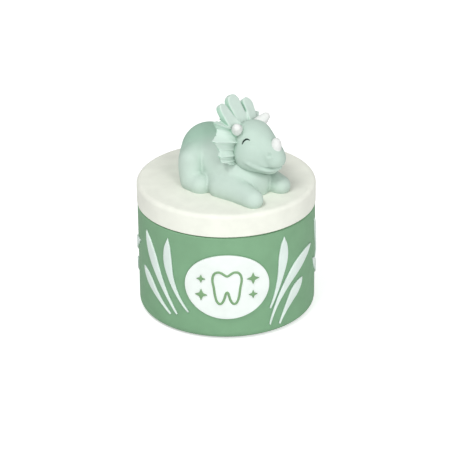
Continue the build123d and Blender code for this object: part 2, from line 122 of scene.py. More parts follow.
# Balls that the figure is drawn over, in its own frame in mm: +X forward, +Y to its left, zero
# height on the lid. Each is a centre and a radius.
BALLS = {
    "rump": (-6.9, -0.8, 8.0, 9.5),
    "chest": (7.2, -1.3, 4.8, 9.4),
    "breast": (11.4, -1.5, 2.8, 7.8),
    "flank_right": (1.0, -6.6, 3.8, 4.6),
    "shoulder_right": (4.4, -5.4, 3.4, 6.0),
    "armpit_right": (9.4, -6.2, 3.4, 5.5),
    "flank_left": (1.0, 4.0, 3.8, 4.6),
    "shoulder_left": (4.4, 2.8, 3.4, 6.0),
    "armpit_left": (9.4, 3.6, 3.4, 5.5),
    "throat": (8.6, -0.6, 5.0, 7.0),
    "neck": (10.8, 0.3, 11.0, 4.6),
    "hip_top_right": (-5.8, -5.4, 11.0, 4.2),
    "hip_back_right": (-6.6, -9.6, 8.4, 4.0),
    "hip_right": (-4.9, -11.4, 8.6, 4.0),
    "knee_right": (-4.3, -11.9, 5.6, 4.1),
    "heel_right": (-3.0, -12.9, 2.0, 3.7),
    "toe_right": (1.0, -12.7, 1.6, 3.7),
    "hip_top_left": (-5.8, 3.8, 11.0, 4.2),
    "hip_back_left": (-6.6, 8.0, 8.4, 4.0),
    "hip_left": (-4.9, 9.8, 8.6, 4.0),
    "knee_left": (-4.3, 10.3, 5.6, 4.1),
    "heel_left": (-3.0, 11.3, 2.0, 3.7),
    "toe_left": (1.0, 11.1, 1.6, 3.7),
    "elbow_right": (7.8, -9.5, 2.2, 4.4),
    "paw_right": (21.9, -9.1, 2.0, 3.25),
    "arm_right": (14.4, -8.4, 2.3, 4.3),
    "arm_left": (13.6, 5.2, 2.3, 4.1),
    "elbow_left": (7.8, 6.6, 2.2, 4.1),
    "paw_left": (20.2, 5.3, 1.9, 3.2),
    "tail_root": (-13.4, 1.0, 5.0, 6.0),
    "tail_bend": (-14.4, 9.8, 3.6, 4.4),
    "tail_turn": (-10.9, 18.0, 2.5, 2.9),
    "tail_tip": (-5.3, 21.2, 1.7, 1.8),
}
# Chains of balls, each joined to the next
BODY_CHAINS = (
    ("rump", "chest", "breast"),
    ("throat", "neck"),
    ("rump", "hip_back_right"),
    ("hip_top_right", "hip_right", "knee_right", "heel_right", "toe_right"),
    ("rump", "hip_back_left"),
    ("hip_top_left", "hip_left", "knee_left", "heel_left", "toe_left"),
    ("flank_right", "shoulder_right", "armpit_right"),
    ("shoulder_right", "elbow_right", "arm_right", "paw_right"),
    ("armpit_right", "arm_right"),
    ("flank_left", "shoulder_left", "armpit_left"),
    ("shoulder_left", "elbow_left", "arm_left", "paw_left"),
    ("armpit_left", "arm_left"),
    ("tail_root", "tail_bend", "tail_turn", "tail_tip"),
)
# The skull's centre in the figure's frame, in mm
SKULL = Vector((12.5, 0.4, 17.8))
# How far the figure's underside reaches into the lid, in mm
FIGURE_SINK = 0.05
# Skins of the sculpted forms: the size of the faces as a share of the grain, and in mm what
# smoothing takes off the form, which it is then swelled by
BODY_SKIN = (1.0, 0.12)
HEAD_SKIN = (0.8, 0.1)
FRILL_SKIN = (0.7, 0.02)
HORN_SKIN = (0.5, 0.05)
# Smoothing passes over the thin forms
FRILL_PASSES = 2
HORN_PASSES = 10

# Head, in its own frame in mm: +X towards the beak, the skull's centre at zero
HEAD_BALLS = {
    "skull": (0.1, 0.0, -0.3, 6.5),
    "snout": (6.7, 0.0, -3.8, 4.3),
    "beak": (8.4, 0.0, -4.8, 3.7),
    "cheek_right": (0.8, -2.1, -4.1, 6.2),
    "cheek_left": (0.8, 2.1, -4.1, 6.2),
    "jaw_tip": (6.4, 0.0, -7.2, 3.6),
}
HEAD_CHAINS = (
    ("skull", "snout", "beak"),
    ("cheek_right", "cheek_left"),
    ("cheek_right", "jaw_tip"),
    ("cheek_left", "jaw_tip"),
)
# Lines on the right side of the head, which the left side mirrors
EYE_LINE = (
    (0.15, -6.7, 0.35),
    (0.35, -6.6, 1.05),
    (0.78, -6.4, 1.76),
    (1.38, -6.1, 2.24),
    (2.0, -5.85, 2.3),
    (2.6, -5.7, 1.96),
)
MOUTH_LINE = (
    (2.1, -6.9, -3.95),
    (2.9, -6.7, -4.5),
    (4.3, -6.0, -5.5),
    (5.9, -4.8, -6.6),
    (7.3, -3.7, -7.3),
    (8.8, -2.7, -7.55),
    (10.6, -1.6, -7.4),
    (11.6, 0.0, -7.2),
)
# How deep the eye's line lies in the skin in mm, and the width of its ends as a share of its
# middle's. The line swells over an arch whose feet lie this far beyond its ends, in steps between
# its points.
EYE_SINK = 0.14
EYE_END_WIDTH = 0.42
EYE_END_INSET = 0.4
# The groove of the mouth: half its width, how far from its line the skin moves, and the part of the
# head that can move, which is ahead of its back and below its top, all in mm
GROOVE_WIDTH = 0.34
MOUTH_REACH = 3
MOUTH_BACK, MOUTH_TOP = 0.5, -2
# The lower lip in mm: its drop below the line, half its height, how far from the line it is full
# and the length over which it fades beyond that
LIP_DROP, LIP_HEIGHT = 0.85, 0.75
LIP_REACH, LIP_FADE = 1.2, 0.6
# Where the corner of the mouth starts, and the length over which groove and lip grow there, in mm
CORNER_START, CORNER_LENGTH = 1.8, 1.1
# The right nostril's centre, how far from it the skin moves, the dimple's depth and half its width,
# and the height of the rim round it, its radius and half its width, all in mm
NOSTRIL = (8.84, -3.52, -2.51)
NOSTRIL_REACH = 2.5
DIMPLE_DEPTH, DIMPLE_WIDTH = 0.45, 0.6
RIM_HEIGHT, RIM_RADIUS, RIM_WIDTH = 0.13, 1.15, 0.35

# Frill in the head's frame in mm. It is even about a plane that leans to the figure's left, by an
# angle in degrees.
FRILL_LEAN = 19.6
FRILL_CENTRE = Vector((0.0, 0.0, -3.0))
# Upright plates: the line from the root to the tip, the width at both and the way a plate faces
MIDDLE_PLATE = {
    "line": ((-3.4, 2.0, 0.5), (-6.5, 2.1, 4.6), (-9.2, 2.2, 8.4), (-11.2, 2.3, 11.9)),
    "widths": (5.6, 6.0),
    "facing": (1, 0, 0),
}
SIDE_PLATE = {
    "line": ((-3.5, -2.8, 2.4), (-5.5, -4.1, 5.1), (-7.8, -4.7, 8.2), (-10.2, -4.6, 11.1)),
    "widths": (5.4, 4.9),
    "facing": (1, 0.1, 0),
}
# A plate widens over a share of its length, and its round end is as long as a share of its width.
# The bevel takes the last share of its half width, and a share of its thickness.
PLATE_WIDENING = 0.7
PLATE_END = 0.55
BEVEL_WIDTH = 0.15
BEVEL_DEPTH = 0.15
# Half the step along a plate's line that its direction is taken from, as a share of the line, and
# the faces across and along a plate
PLATE_STEP = 0.02
PLATE_GRID = (16, 36)
# Ribs of the pleated right side from the top down: root, tip and how far its ridge stands out
FRILL_RIBS = (
    ((-3.0, -3.3, 4.1), (-8.6, -6.5, 7.3), 0.1),
    ((-3.0, -3.9, 3.0), (-8.4, -10.7, 7.3), 1.3),
    ((-2.8, -4.2, 2.3), (-7.6, -9.7, 3.9), 0.3),
    ((-2.6, -4.5, -0.2), (-6.8, -13.5, 2.0), 1.4),
    ((-2.3, -4.9, -3.1), (-6.0, -11.2, -1.3), 0.3),
    ((-2.2, -5.1, -4.4), (-4.9, -12.9, -3.0), 1.2),
    ((-2.0, -5.4, -6.1), (-3.8, -12.6, -5.0), 0.4),
    ((-1.4, -5.3, -7.4), (-2.2, -10.4, -6.4), 0.2),
)
# The pleated side starts in the head, a share of each rib before its root. Between the ribs its
# edge is drawn back, in mm, and towards the edge the web loses a share of its thickness. The grid
# counts faces between two ribs and along them.
RIB_ROOT = 0.25
HOLLOW_SETBACK = 0.25
WEB_THINNING = 0.7
PLEAT_GRID = (14, 30)

# Horns in the head's frame in mm, each as balls from its root to its tip
HORNS = {
    "horn_right": ((-3.0, -4.8, 4.0, 1.9), (-2.2, -6.1, 5.0, 1.65), (-1.6, -7.0, 5.85, 1.3)),
    "horn_left": ((-1.6, 5.2, 3.3, 1.9), (-0.9, 6.6, 4.2, 1.75), (-0.3, 7.5, 5.1, 1.35)),
    "horn_nose": ((8.8, 0.0, -1.5, 1.85), (8.95, 0.0, -0.2, 1.8), (9.05, 0.0, 0.85, 1.5)),
}
HORN_NODES = {
    "horn_right": "brow_horn_right",
    "horn_left": "brow_horn_left",
    "horn_nose": "nose_horn",
}

# Cast resin: noise scales of its clouds of colour, its patches of gloss and its sand, the places of
# the clouds' shades and what they multiply the colour by, and the range of gloss over the patches
CLOUD_SCALE, PATCH_SCALE, SAND_SCALE = 170, 420, 3200
CLOUD_SHADES = ((0.32, 0.955), (0.68, 1.03))
PATCH_SPAN = (0.3, 0.7)
GLOSS_CHANGE = 0.06
# Strength and depth of the bumps that the sand and the casting's waves make
SAND_BUMP = (0.22, 0.05 * MM)
WAVE_BUMP = (0.18, 0.15 * MM)
# Painted shade in hollows, creases and under overhanging parts: strength, how near the walls of a
# hollow stand, and the heights where the shade starts and is full. It leaves out the pot's rim and
# the foot of the figure on the lid.
POT_PAINTED_SHADE = (0.9, 1.5 * MM, POT_RIM - 0.5 * MM, POT_RIM - 4 * MM)
FIGURE_PAINTED_SHADE = (0.7, 3 * MM, LID_TOP, LID_TOP + 3.5 * MM)
# The shares of the space round a point that are open where the painted shade is full and where it
# ends
SHADE_OPENNESS = (0.25, 0.85)
# What the painted shade in hollows and the painted shade over one side multiply the colour by
SHADE_TINT = (0.40, 0.50, 0.44, 1)
SIDE_SHADE_TINT = (0.70, 0.86, 0.77, 1)
# The way from the figure to the side of its back that is painted a deeper mint as shade, and how
# far along it in mm the painted shade starts and is full
BACK_SHADE_WAY = (-0.62, 0.22, 0.75)
BACK_SHADE_EDGES = (7.0, 15.0)
# How squarely a wall of the frill faces the way of its painted shade where that starts and is full
FRILL_SHADE_FACING = (0.5, 0.85)
# Foam: noise scale of its pores, the shades in and between them, and strength and depth of the bump
PORE_SCALE = 2600
PORE_SHADES = ((0.0, 0.6), (1.0, 1.5))
PORE_BUMP = (0.6, 0.1 * MM)

# Lamps: place and diameter in metres. They shine at one point on the box.
LAMPS = {"front": ((0.28, -0.64, 0.40), 0.30), "top": ((-0.21, -0.36, 0.69), 0.24)}
LAMP_AIM = Vector((0, 0, 0.04))
# The box's middle for the camera, and how far to the right and below it the camera aims
MIDDLE = Vector((0, 0, 0.030))
AIM_RIGHT, AIM_DOWN = 0.00064, 0.00309
# Half the floor's side in metres, its grey and the glow that the camera sees
FLOOR_REACH = 3
FLOOR_GREY = 0.93
FLOOR_GLOW = 0.5


def linear(red, green, blue):
    """A colour of 0 to 255, as the eye sees it, in the linear values that shaders take."""
    shares = [value / 255 for value in (red, green, blue)]
    return tuple(s / 12.92 if s < 0.04045 else ((s + 0.055) / 1.055) ** 2.4 for s in shares)


def colour_property(name, description, default):
    return FloatVectorProperty(
        name=name, description=description, subtype="COLOR", size=3, min=0, max=1, default=default
    )


def length_property(name, description, default):
    return FloatProperty(
        name=name,
        description=description,
        subtype="DISTANCE",
        unit="LENGTH",
        min=0,
        default=default,
    )


def angle_property(name, description, degrees):
    return FloatProperty(
        name=name,
        description=description,
        subtype="ANGLE",
        unit="ROTATION",
        default=math.radians(degrees),
    )


def power_property(name, description, default):
    return FloatProperty(name=name, description=description, unit="POWER", default=default)


class ToothBoxFinishes(bpy.types.PropertyGroup):
    """Colours of the castings and their paint."""

    pot: colour_property("Pot", "Green of the pot", linear(127, 170, 133))
    lid: colour_property("Lid", "Cream of the lid", linear(241, 243, 232))
    mint: colour_property("Figure", "Pale mint of the figure", linear(196, 215, 204))
    # The head's and the frill's mints are the figure's one paint, made darker on the head as
    # painted shade and lighter on the frill as painted light
    head: colour_property("Head", "Mint of the head", linear(189, 210, 198))
    frill: colour_property("Frill", "Mint of the frill", linear(210, 228, 218))
    label: colour_property("Label", "White of the raised label", linear(240, 247, 243))
    leaf: colour_property("Leaves", "White of the raised leaves", linear(227, 240, 234))
    emblem: colour_property("Emblem", "Green of the lines on the label", linear(128, 166, 122))
    horn: colour_property("Horns", "White of the horns", linear(231, 234, 231))
    eye: colour_property("Eyes", "Dark line of the closed eyes", linear(24, 46, 38))
    pad: colour_property("Pad", "Black of the foam pad", linear(38, 40, 41))


class ToothBoxReliefs(bpy.types.PropertyGroup):
    """Raised work on the pot's wall."""

    label_width: length_property("Label width", "Width of the oval label", 28.2 * MM)
    label_height: length_property("Label height", "Height of the oval label", 23.2 * MM)
    label_centre: length_property("Label centre", "Height of the label's centre", 19.9 * MM)
    label_relief: length_property("Label relief", "How far the label stands out", 0.7 * MM)
    emblem_relief: length_property("Emblem relief", "How far the emblem stands out", 0.35 * MM)
    emblem_line: length_property("Emblem line", "Width of the tooth's line", 0.8 * MM)
    leaf_width: length_property("Leaf width", "Width of the widest leaf's blade", 3.9 * MM)
    leaf_stem: length_property("Leaf stem", "Width of a leaf's stem", 0.55 * MM)
    leaf_relief: length_property("Leaf relief", "How far the leaves stand out", 0.5 * MM)
    edge_round: length_property("Edge rounding", "Rounding of the raised edges", 0.22 * MM)


class ToothBoxFigure(bpy.types.PropertyGroup):
    """The figure on the lid."""

    facing: angle_property("Facing", "Angle of the figure on the lid", -46)
    head_turn: angle_property("Head turn", "Angle of the head from the body", 10)
    grain: length_property("Mesh grain", "Size of the faces of the sculpted forms", 0.26 * MM)
    body_passes: IntProperty(
        name="Body smoothing", description="Smoothing passes over the body", min=0, default=18
    )
    head_passes: IntProperty(
        name="Head smoothing", description="Smoothing passes over the head", min=0, default=26
    )
    mouth_depth: length_property("Mouth depth", "Depth of the line of the mouth", 0.85 * MM)
    lip: length_property("Lower lip", "How far the lower lip stands out", 0.5 * MM)
    plate: length_property("Plate", "Thickness of the frill's upright plates", 1.9 * MM)
    web: length_property("Web", "Thickness of the frill's pleated sides", 1.2 * MM)
    pleat: length_property("Pleats", "Depth of the hollows between the frill's ridges", 0.6 * MM)
    eye_line: length_property("Eye line", "Width of the eyes' line", 0.7 * MM)


class ToothBoxStage(bpy.types.PropertyGroup):
    """Camera, lamps and floor."""

    distance: length_property("Camera distance", "From the box's middle", 0.702)
    elevation: angle_property("Camera elevation", "Angle of the camera above the floor", 25.794)
    roll: angle_property("Camera roll", "Angle of the camera about its own line", -0.447)
    lens: FloatProperty(name="Lens", description="Focal length in mm", default=164.35)
    front: power_property("Front lamp", "Power of the lamp over the camera", 1.95)
    top: power_property("Top lamp", "Power of the lamp over the box", 2.25)
    sky: FloatProperty(name="Surround", description="Strength of the light all round", default=0.47)


# Meshes
def show(mesh, name):
    """A shown object that holds the mesh."""
    obj = bpy.data.objects.new(name, mesh)
    bpy.context.scene.collection.objects.link(obj)
    return obj


def finished(bm, name, body, finish, nodes):
    """Makes the bmesh a smooth piece that rides on a body and stands for its solids. The bmesh
    goes."""
    bmesh.ops.recalc_face_normals(bm, faces=bm.faces)
    for face in bm.faces:
        face.smooth = True
    mesh = bpy.data.meshes.new(name)
    bm.to_mesh(mesh)
    bm.free()
    mesh.materials.append(finish)
    piece = show(mesh, name)
    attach(piece, body)
    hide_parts(*nodes)


def mesh_of(obj):
    """What the object looks like with its modifiers, as a new bmesh. The object goes."""
    graph = bpy.context.evaluated_depsgraph_get()
    mesh = bpy.data.meshes.new_from_object(obj.evaluated_get(graph))
    old = obj.data
    bpy.data.objects.remove(obj)
    if isinstance(old, bpy.types.Mesh):
        bpy.data.meshes.remove(old)
    else:
        bpy.data.curves.remove(old)
    bm = bmesh.new()
    bm.from_mesh(mesh)
    bpy.data.meshes.remove(mesh)
    return bm


def merge_into(target, bm):
    """Adds the bmesh's forms to the target. The bmesh goes."""
    mesh = bpy.data.meshes.new("form")
    bm.to_mesh(mesh)
    bm.free()
    target.from_mesh(mesh)
    bpy.data.meshes.remove(mesh)


def double_grid(columns, rows):
    """A closed flat shell, x and y from -1 to 1, to be shaped, and the vertices of its back."""
    bm = bmesh.new()
    bmesh.ops.create_grid(bm, x_segments=columns, y_segments=rows, size=1)
    made = bmesh.ops.extrude_face_region(bm, geom=list(bm.faces))["geom"]
    return bm, {item for item in made if isinstance(item, bmesh.types.BMVert)}


def sculpted(bm, grain, skin, passes):
    """One smooth skin over all the forms in the bmesh, swelled by what smoothing took off them.
    The old bmesh goes."""
    mesh = bpy.data.meshes.new("forms")
    bm.to_mesh(mesh)
    bm.free()
    forms = show(mesh, "forms")
    share, swell = skin
    remesh = forms.modifiers.new("Skin", "REMESH")
    remesh.mode = "VOXEL"
    remesh.voxel_size = grain * share
    bm = mesh_of(forms)
    for _ in range(passes):
        bmesh.ops.smooth_vert(
            bm, verts=bm.verts, factor=0.5, use_axis_x=True, use_axis_y=True, use_axis_z=True
        )
    bm.normal_update()
    for vert in bm.verts:
        vert.co += vert.normal * (swell * MM)
    return bm


def add_chain(bm, balls):
    """The hulls of each two neighbours in a row of balls, each x, y, z and radius in mm."""
    for pair in zip(balls, balls[1:]):
        verts = []
        for x, y, z, radius in pair:
            place = Matrix.Translation(Vector((x, y, z)) * MM)
            ball = bmesh.ops.create_uvsphere(
                bm, u_segments=40, v_segments=20, radius=radius * MM, matrix=place
            )
            verts += ball["verts"]
        hull = bmesh.ops.convex_hull(bm, input=verts)
        inner = [item for item in hull["geom_interior"] if isinstance(item, bmesh.types.BMVert)]
        bmesh.ops.delete(bm, geom=inner, context="VERTS")


def flatten_bottom(bm, height):
    """Cuts the form off below a height and closes it."""
    geom = list(bm.verts) + list(bm.edges) + list(bm.faces)
    bmesh.ops.bisect_plane(
        bm, geom=geom, plane_co=(0, 0, height), plane_no=(0, 0, 1), clear_inner=True
    )
    rim = [edge for edge in bm.edges if edge.is_boundary]
    bmesh.ops.holes_fill(bm, edges=rim)


def nearest_on_line(point, line):
    """The distance from a point to a line of points, and the nearest place on the line."""
    best, place = math.inf, line[0]
    for start, end in zip(line, line[1:]):
        way = end - start
        share = max(0.0, min(1.0, (point - start).dot(way) / way.length_squared))
        spot = start + way * share
        distance = (point - spot).length
        if distance < best:
            best, place = distance, spot
    return best, place


def smooth_step(value):
    """From 0 to 1 as the value does, level at both ends."""
    value = max(0.0, min(1.0, value))
    return value * value * (3 - 2 * value)


def hump(share):
    """0 at both ends and 1 halfway."""
    return 4 * share * (1 - share)


def bell(value, middle, width):
    """1 at the middle, and falling away on both sides of it over the width."""
    return math.exp(-(((value - middle) / width) ** 2))


def along_table(stations, values, at):
    """The value at a place between stations, on a smooth line through the table's values."""
    for index in range(len(stations) - 1):
        if at <= stations[index + 1]:
            break
    left, right = max(index - 1, 0), min(index + 2, len(stations) - 1)
    span = stations[index + 1] - stations[index]
    share = (at - stations[index]) / span
    slopes = []
    for a, b in ((left, index + 1), (index, right)):
        slopes.append((values[b] - values[a]) / (stations[b] - stations[a]) * span)
    square, cube = share * share, share * share * share
    return (
        (2 * cube - 3 * square + 1) * values[index]
        + (cube - 2 * square + share) * slopes[0]
        + (3 * square - 2 * cube) * values[index + 1]
        + (cube - square) * slopes[1]
    )


def wrap_on_pot(bm, radius, angle):
    """Bends a flat drawing, x along the wall and y up with z as its relief, round the pot."""
    for vert in bm.verts:
        arc, height, relief = vert.co
        turn = angle + arc / radius
        reach = radius + relief
        vert.co = Vector((reach * math.sin(turn), -reach * math.cos(turn), height))


def raise_flat(bm, relief, rounding):
    """Gives a flat drawing its thickness, sinks its back and rounds its outer edge."""
    made = bmesh.ops.extrude_face_region(bm, geom=list(bm.faces))["geom"]
    top = [item for item in made if isinstance(item, bmesh.types.BMVert)]
    raised = set(top)
    bottom = [vert for vert in bm.verts if vert not in raised]
    bmesh.ops.translate(bm, verts=top, vec=(0, 0, relief))
    bmesh.ops.translate(bm, verts=bottom, vec=(0, 0, -SINK))
    bmesh.ops.recalc_face_normals(bm, faces=bm.faces)
    rim = [
        edge
        for edge in bm.edges
        if all(v.co.z > relief / 2 for v in edge.verts)
        and any(abs(face.normal.z) < 0.5 for face in edge.link_faces)
    ]
    bmesh.ops.bevel(
        bm, geom=rim, offset=rounding, segments=3, profile=0.5, affect="EDGES", material=-1
    )


# Materials
def feed(tree, node, inputs):
    """Sets a node's inputs to values, or links them to the outputs of other nodes."""
    for name, value in inputs.items():
        if isinstance(value, bpy.types.NodeSocket):
            tree.links.new(value, node.inputs[name])
        else:
            node.inputs[name].default_value = value


def add_node(tree, kind, inputs, **settings):
    """A new shader node with its settings and inputs."""
    node = tree.nodes.new(f"ShaderNode{kind}")
    for name, value in settings.items():
        setattr(node, name, value)
    feed(tree, node, inputs)
    return node


def map_range(tree, value, start, end, low=0.0, high=1.0, **settings):
    """The value, brought from the range of start and end to that of low and high."""
    inputs = {"Value": value, "From Min": start, "From Max": end, "To Min": low, "To Max": high}
    return add_node(tree, "MapRange", inputs, **settings).outputs["Result"]


def shade_ramp(tree, factor, colour, shades):
    """Two shades of the colour over the factor, each its place and what it multiplies by."""
    node = add_node(tree, "ValToRGB", {"Fac": factor})
    for element, (place, shade) in zip(node.color_ramp.elements, shades):
        element.position = place
        element.color = (*[min(1.0, c * shade) for c in colour], 1)
    return node.outputs["Color"]


def tinted(tree, colour, tint, factor):
    """The colour multiplied by the tint, as far as the factor says."""
    inputs = {"Factor": factor, "A": colour, "B": tint}
    return add_node(tree, "Mix", inputs, data_type="RGBA", blend_type="MULTIPLY").outputs["Result"]


def bumped(tree, height, strength, depth, **under):
    """The normal over the height's bumps, and over those of another normal under them."""
    inputs = {"Height": height, "Strength": strength, "Distance": depth, **under}
    return add_node(tree, "Bump", inputs).outputs["Normal"]


def new_material(name, specular):
    """A new material with its tree and its shader."""
    material = bpy.data.materials.new(name)
    material.use_nodes = True
    tree = material.node_tree
    shader = tree.nodes["Principled BSDF"]
    shader.inputs["Specular IOR Level"].default_value = specular
    return material, tree, shader


def resin(name, colour, grain=1.0, roughness=0.62, painted_shade=None, **shaded_sides):
    """Matte cast resin: cloudy colour, a fine sandy grain, painted shade that sits in hollows, and
    a deeper painted shade. That is painted over one side, or on the faces facing it: the way to the
    side, and the places where the shade starts and is full."""
    material, tree, shader = new_material(name, specular=0.35)
    coordinates = add_node(tree, "TexCoord", {})
    place = coordinates.outputs["Object"]

    def noise(scale, detail):
        inputs = {"Vector": place, "Scale": scale, "Detail": detail}
        return add_node(tree, "TexNoise", inputs).outputs["Fac"]

    shade = shade_ramp(tree, noise(CLOUD_SCALE, 4), colour, CLOUD_SHADES)
    # Painted shade: darker where little of the space round a point is open, above a height
    if painted_shade:
        strength, reach, start, full = painted_shade
        corners = add_node(tree, "AmbientOcclusion", {"Distance": reach}, samples=16)
        hollows = map_range(tree, corners.outputs["AO"], *SHADE_OPENNESS, strength, 0.0)
        height = add_node(tree, "SeparateXYZ", {"Vector": place}).outputs["Z"]
        inputs = {0: hollows, 1: map_range(tree, height, start, full)}
        factor = add_node(tree, "Math", inputs, operation="MULTIPLY").outputs["Value"]
        shade = tinted(tree, shade, SHADE_TINT, factor)
    # Painted shade over one side of the form, or on the faces turned that way
    for kind, (way, start, full) in shaded_sides.items():
        source = coordinates.outputs["Normal"] if kind == "facing" else place
        along = add_node(tree, "VectorMath", {0: source, 1: way}, operation="DOT_PRODUCT")
        reach = along.outputs["Value"]
        factor = map_range(tree, reach, start, full, interpolation_type="SMOOTHSTEP")
        shade = tinted(tree, shade, SIDE_SHADE_TINT, factor)
    gloss = (roughness - GLOSS_CHANGE, roughness + GLOSS_CHANGE)
    sand = bumped(tree, noise(SAND_SCALE, 3), SAND_BUMP[0] * grain, SAND_BUMP[1])
    waves = bumped(tree, noise(PATCH_SCALE, 2), WAVE_BUMP[0] * grain, WAVE_BUMP[1], Normal=sand)
    patches = map_range(tree, noise(PATCH_SCALE, 3), *PATCH_SPAN, *gloss)
    feed(tree, shader, {"Base Color": shade, "Roughness": patches, "Normal": waves})
    return material


def foam(name, colour):
    """Soft closed foam: small open pores over a dull black."""
    material, tree, shader = new_material(name, specular=0.2)
    place = add_node(tree, "TexCoord", {}).outputs["Object"]
    inputs = {"Vector": place, "Scale": PORE_SCALE}
    pores = add_node(tree, "TexVoronoi", inputs).outputs["Distance"]
    shade = shade_ramp(tree, pores, colour, PORE_SHADES)
    bumps = bumped(tree, pores, *PORE_BUMP)
    feed(tree, shader, {"Base Color": shade, "Roughness": 0.85, "Normal": bumps})
    return material


def dress_node(node, finish):
    """Gives a solid that stays shown its finish."""
    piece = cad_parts[node]
    piece.data.materials.clear()
    piece.data.materials.append(finish)


class TOOTHBOX_OT_box(bpy.types.Operator):
    """Finish the pot, its pad and the lid"""

    bl_idname = "toothbox.box"
    bl_label = "Pot and Lid"

    def execute(self, context):
        finishes = context.scene.toothbox_finishes
        # The pot is painted darker in the hollows round its raised work, as shade
        dress_node("pot", resin("pot_resin", finishes.pot, painted_shade=POT_PAINTED_SHADE))
        dress_node("lid", resin("lid_resin", finishes.lid, grain=0.8))
        dress_node("base_pad", foam("pad_foam", finishes.pad))
        return {"FINISHED"}


class TOOTHBOX_OT_label(bpy.types.Operator):
    """Add the oval label with its raised tooth and stars"""

    bl_idname = "toothbox.label"
    bl_label = "Label"

    def execute(self, context):
        sizes = context.scene.toothbox_reliefs
        finishes = context.scene.toothbox_finishes
        self.add_plaque(sizes, resin("label_resin", finishes.label, grain=0.7))
        paint = resin("emblem_paint", finishes.emblem, grain=0.6)
        self.add_tooth(sizes, paint)
        self.add_stars(sizes, paint)
        return {"FINISHED"}

    def add_plaque(self, sizes, finish):
        bm = bmesh.new()
        bmesh.ops.create_circle(bm, cap_ends=True, cap_tris=True, segments=112, radius=1)
        spokes = [edge for edge in bm.edges if not edge.is_boundary]
        bmesh.ops.subdivide_edges(bm, edges=spokes, cuts=11, use_grid_fill=True)
        size = (sizes.label_width / 2, sizes.label_height / 2, 1)
        bmesh.ops.scale(bm, vec=size, verts=bm.verts)
        bmesh.ops.translate(bm, verts=bm.verts, vec=(0, sizes.label_centre, 0))
        raise_flat(bm, sizes.label_relief, sizes.edge_round)
        wrap_on_pot(bm, POT_RADIUS, 0)
        finished(bm, "label_plaque", "pot", finish, ["oval_label"])

    def add_tooth(self, sizes, finish):
        curve = bpy.data.curves.new("tooth", "CURVE")
        curve.dimensions = "3D"
        curve.bevel_depth = sizes.emblem_line / 2
        curve.bevel_resolution = 4
        curve.resolution_u = 8
        left = [(-x, z) for x, z in TOOTH_SIDE[-2:0:-1]]
        points = list(TOOTH_SIDE) + left
        spline = curve.splines.new("NURBS")
        spline.points.add(len(points) - 1)
        for point, (x, z) in zip(spline.points, points):
            point.co = (x * MM, z * MM, 0, 1)
        spline.order_u = 4
        spline.use_cyclic_u = True
        bm = mesh_of(show(curve, "tooth"))
        bmesh.ops.remove_doubles(bm, verts=bm.verts, dist=MEETING)
        flat = 2 * sizes.emblem_relief / sizes.emblem_line
        bmesh.ops.scale(bm, vec=(1, 1, flat), verts=bm.verts)
        bmesh.ops.translate(bm, verts=bm.verts, vec=(0, sizes.label_centre, 0))
        wrap_on_pot(bm, POT_RADIUS + sizes.label_relief, 0)
        finished(bm, "tooth_line", "pot", finish, ["tooth_emblem"])

    def add_stars(self, sizes, finish):
        bm = bmesh.new()
        for x, z, radius in STARS:
            star = bmesh.new()
            bmesh.ops.create_circle(star, cap_ends=True, segments=8, radius=radius * MM)
            star.verts.ensure_lookup_table()
            for vert in list(star.verts)[1::2]:
                vert.co *= STAR_WAIST
            raise_flat(star, sizes.emblem_relief, STAR_ROUNDING)
            place = (x * MM, sizes.label_centre + z * MM, 0)
            bmesh.ops.translate(star, verts=star.verts, vec=place)
            merge_into(bm, star)
        wrap_on_pot(bm, POT_RADIUS + sizes.label_relief, 0)
        finished(bm, "label_stars", "pot", finish, ["emblem_stars"])


class TOOTHBOX_OT_leaves(bpy.types.Operator):
    """Add the tufts of raised leaves round the pot"""

    bl_idname = "toothbox.leaves"
    bl_label = "Leaves"

    def execute(self, context):
        sizes = context.scene.toothbox_reliefs
        white = resin("leaf_resin", context.scene.toothbox_finishes.leaf, grain=0.7)
        for tuft, groups in TUFTS.items():
            bm = bmesh.new()
            for angle, names in groups:
                for name in names:
                    self.add_leaf(bm, sizes, math.radians(angle), *LEAVES[name])
            finished(bm, tuft.replace("leaves", "grass"), "pot", white, [tuft])
        return {"FINISHED"}

    def add_leaf(self, target, sizes, angle, base_turn, base, turn, tip, bend, width):
        """One leaf: a strip of faces drawn flat, widened station by station, raised and bent."""
        leaf = bmesh.new()
        bmesh.ops.create_grid(leaf, x_segments=4, y_segments=30, size=1)
        start = Vector((POT_RADIUS * math.radians(base_turn), POT_BOTTOM + POT_HEIGHT * base))
        way = Vector((POT_RADIUS * math.radians(turn), POT_HEIGHT * (tip - base)))
        across = Vector((way.y, -way.x)).normalized()
        blade = sizes.leaf_width * width - sizes.leaf_stem
        for vert in leaf.verts:
            side, station = vert.co.x, (vert.co.y + 1) / 2
            swell = along_table(LEAF_STATIONS, LEAF_HALF_WIDTHS, station)
            stem = sizes.leaf_stem / 2 * smooth_step((1 - station) / STEM_TAPER)
            sag = bend * way.length * hump(station)
            place = start + way * station + across * (side * (stem + blade * swell) - sag)
            vert.co = Vector((place.x, place.y, 0))
        bmesh.ops.remove_doubles(leaf, verts=leaf.verts, dist=LEAF_END_MERGE)
        raise_flat(leaf, sizes.leaf_relief, sizes.leaf_stem * LEAF_ROUNDING)
        wrap_on_pot(leaf, POT_RADIUS, angle)
        merge_into(target, leaf)


def figure_matrix(sizes):
    """From the figure's own frame to its place on the lid."""
    return Matrix.Translation((0, 0, LID_TOP)) @ Matrix.Rotation(sizes.facing, 4, "Z")


def head_matrix(sizes):
    """From the head's own frame to its place on the figure."""
    turn = Matrix.Rotation(sizes.head_turn, 4, "Z")
    return figure_matrix(sizes) @ Matrix.Translation(SKULL * MM) @ turn


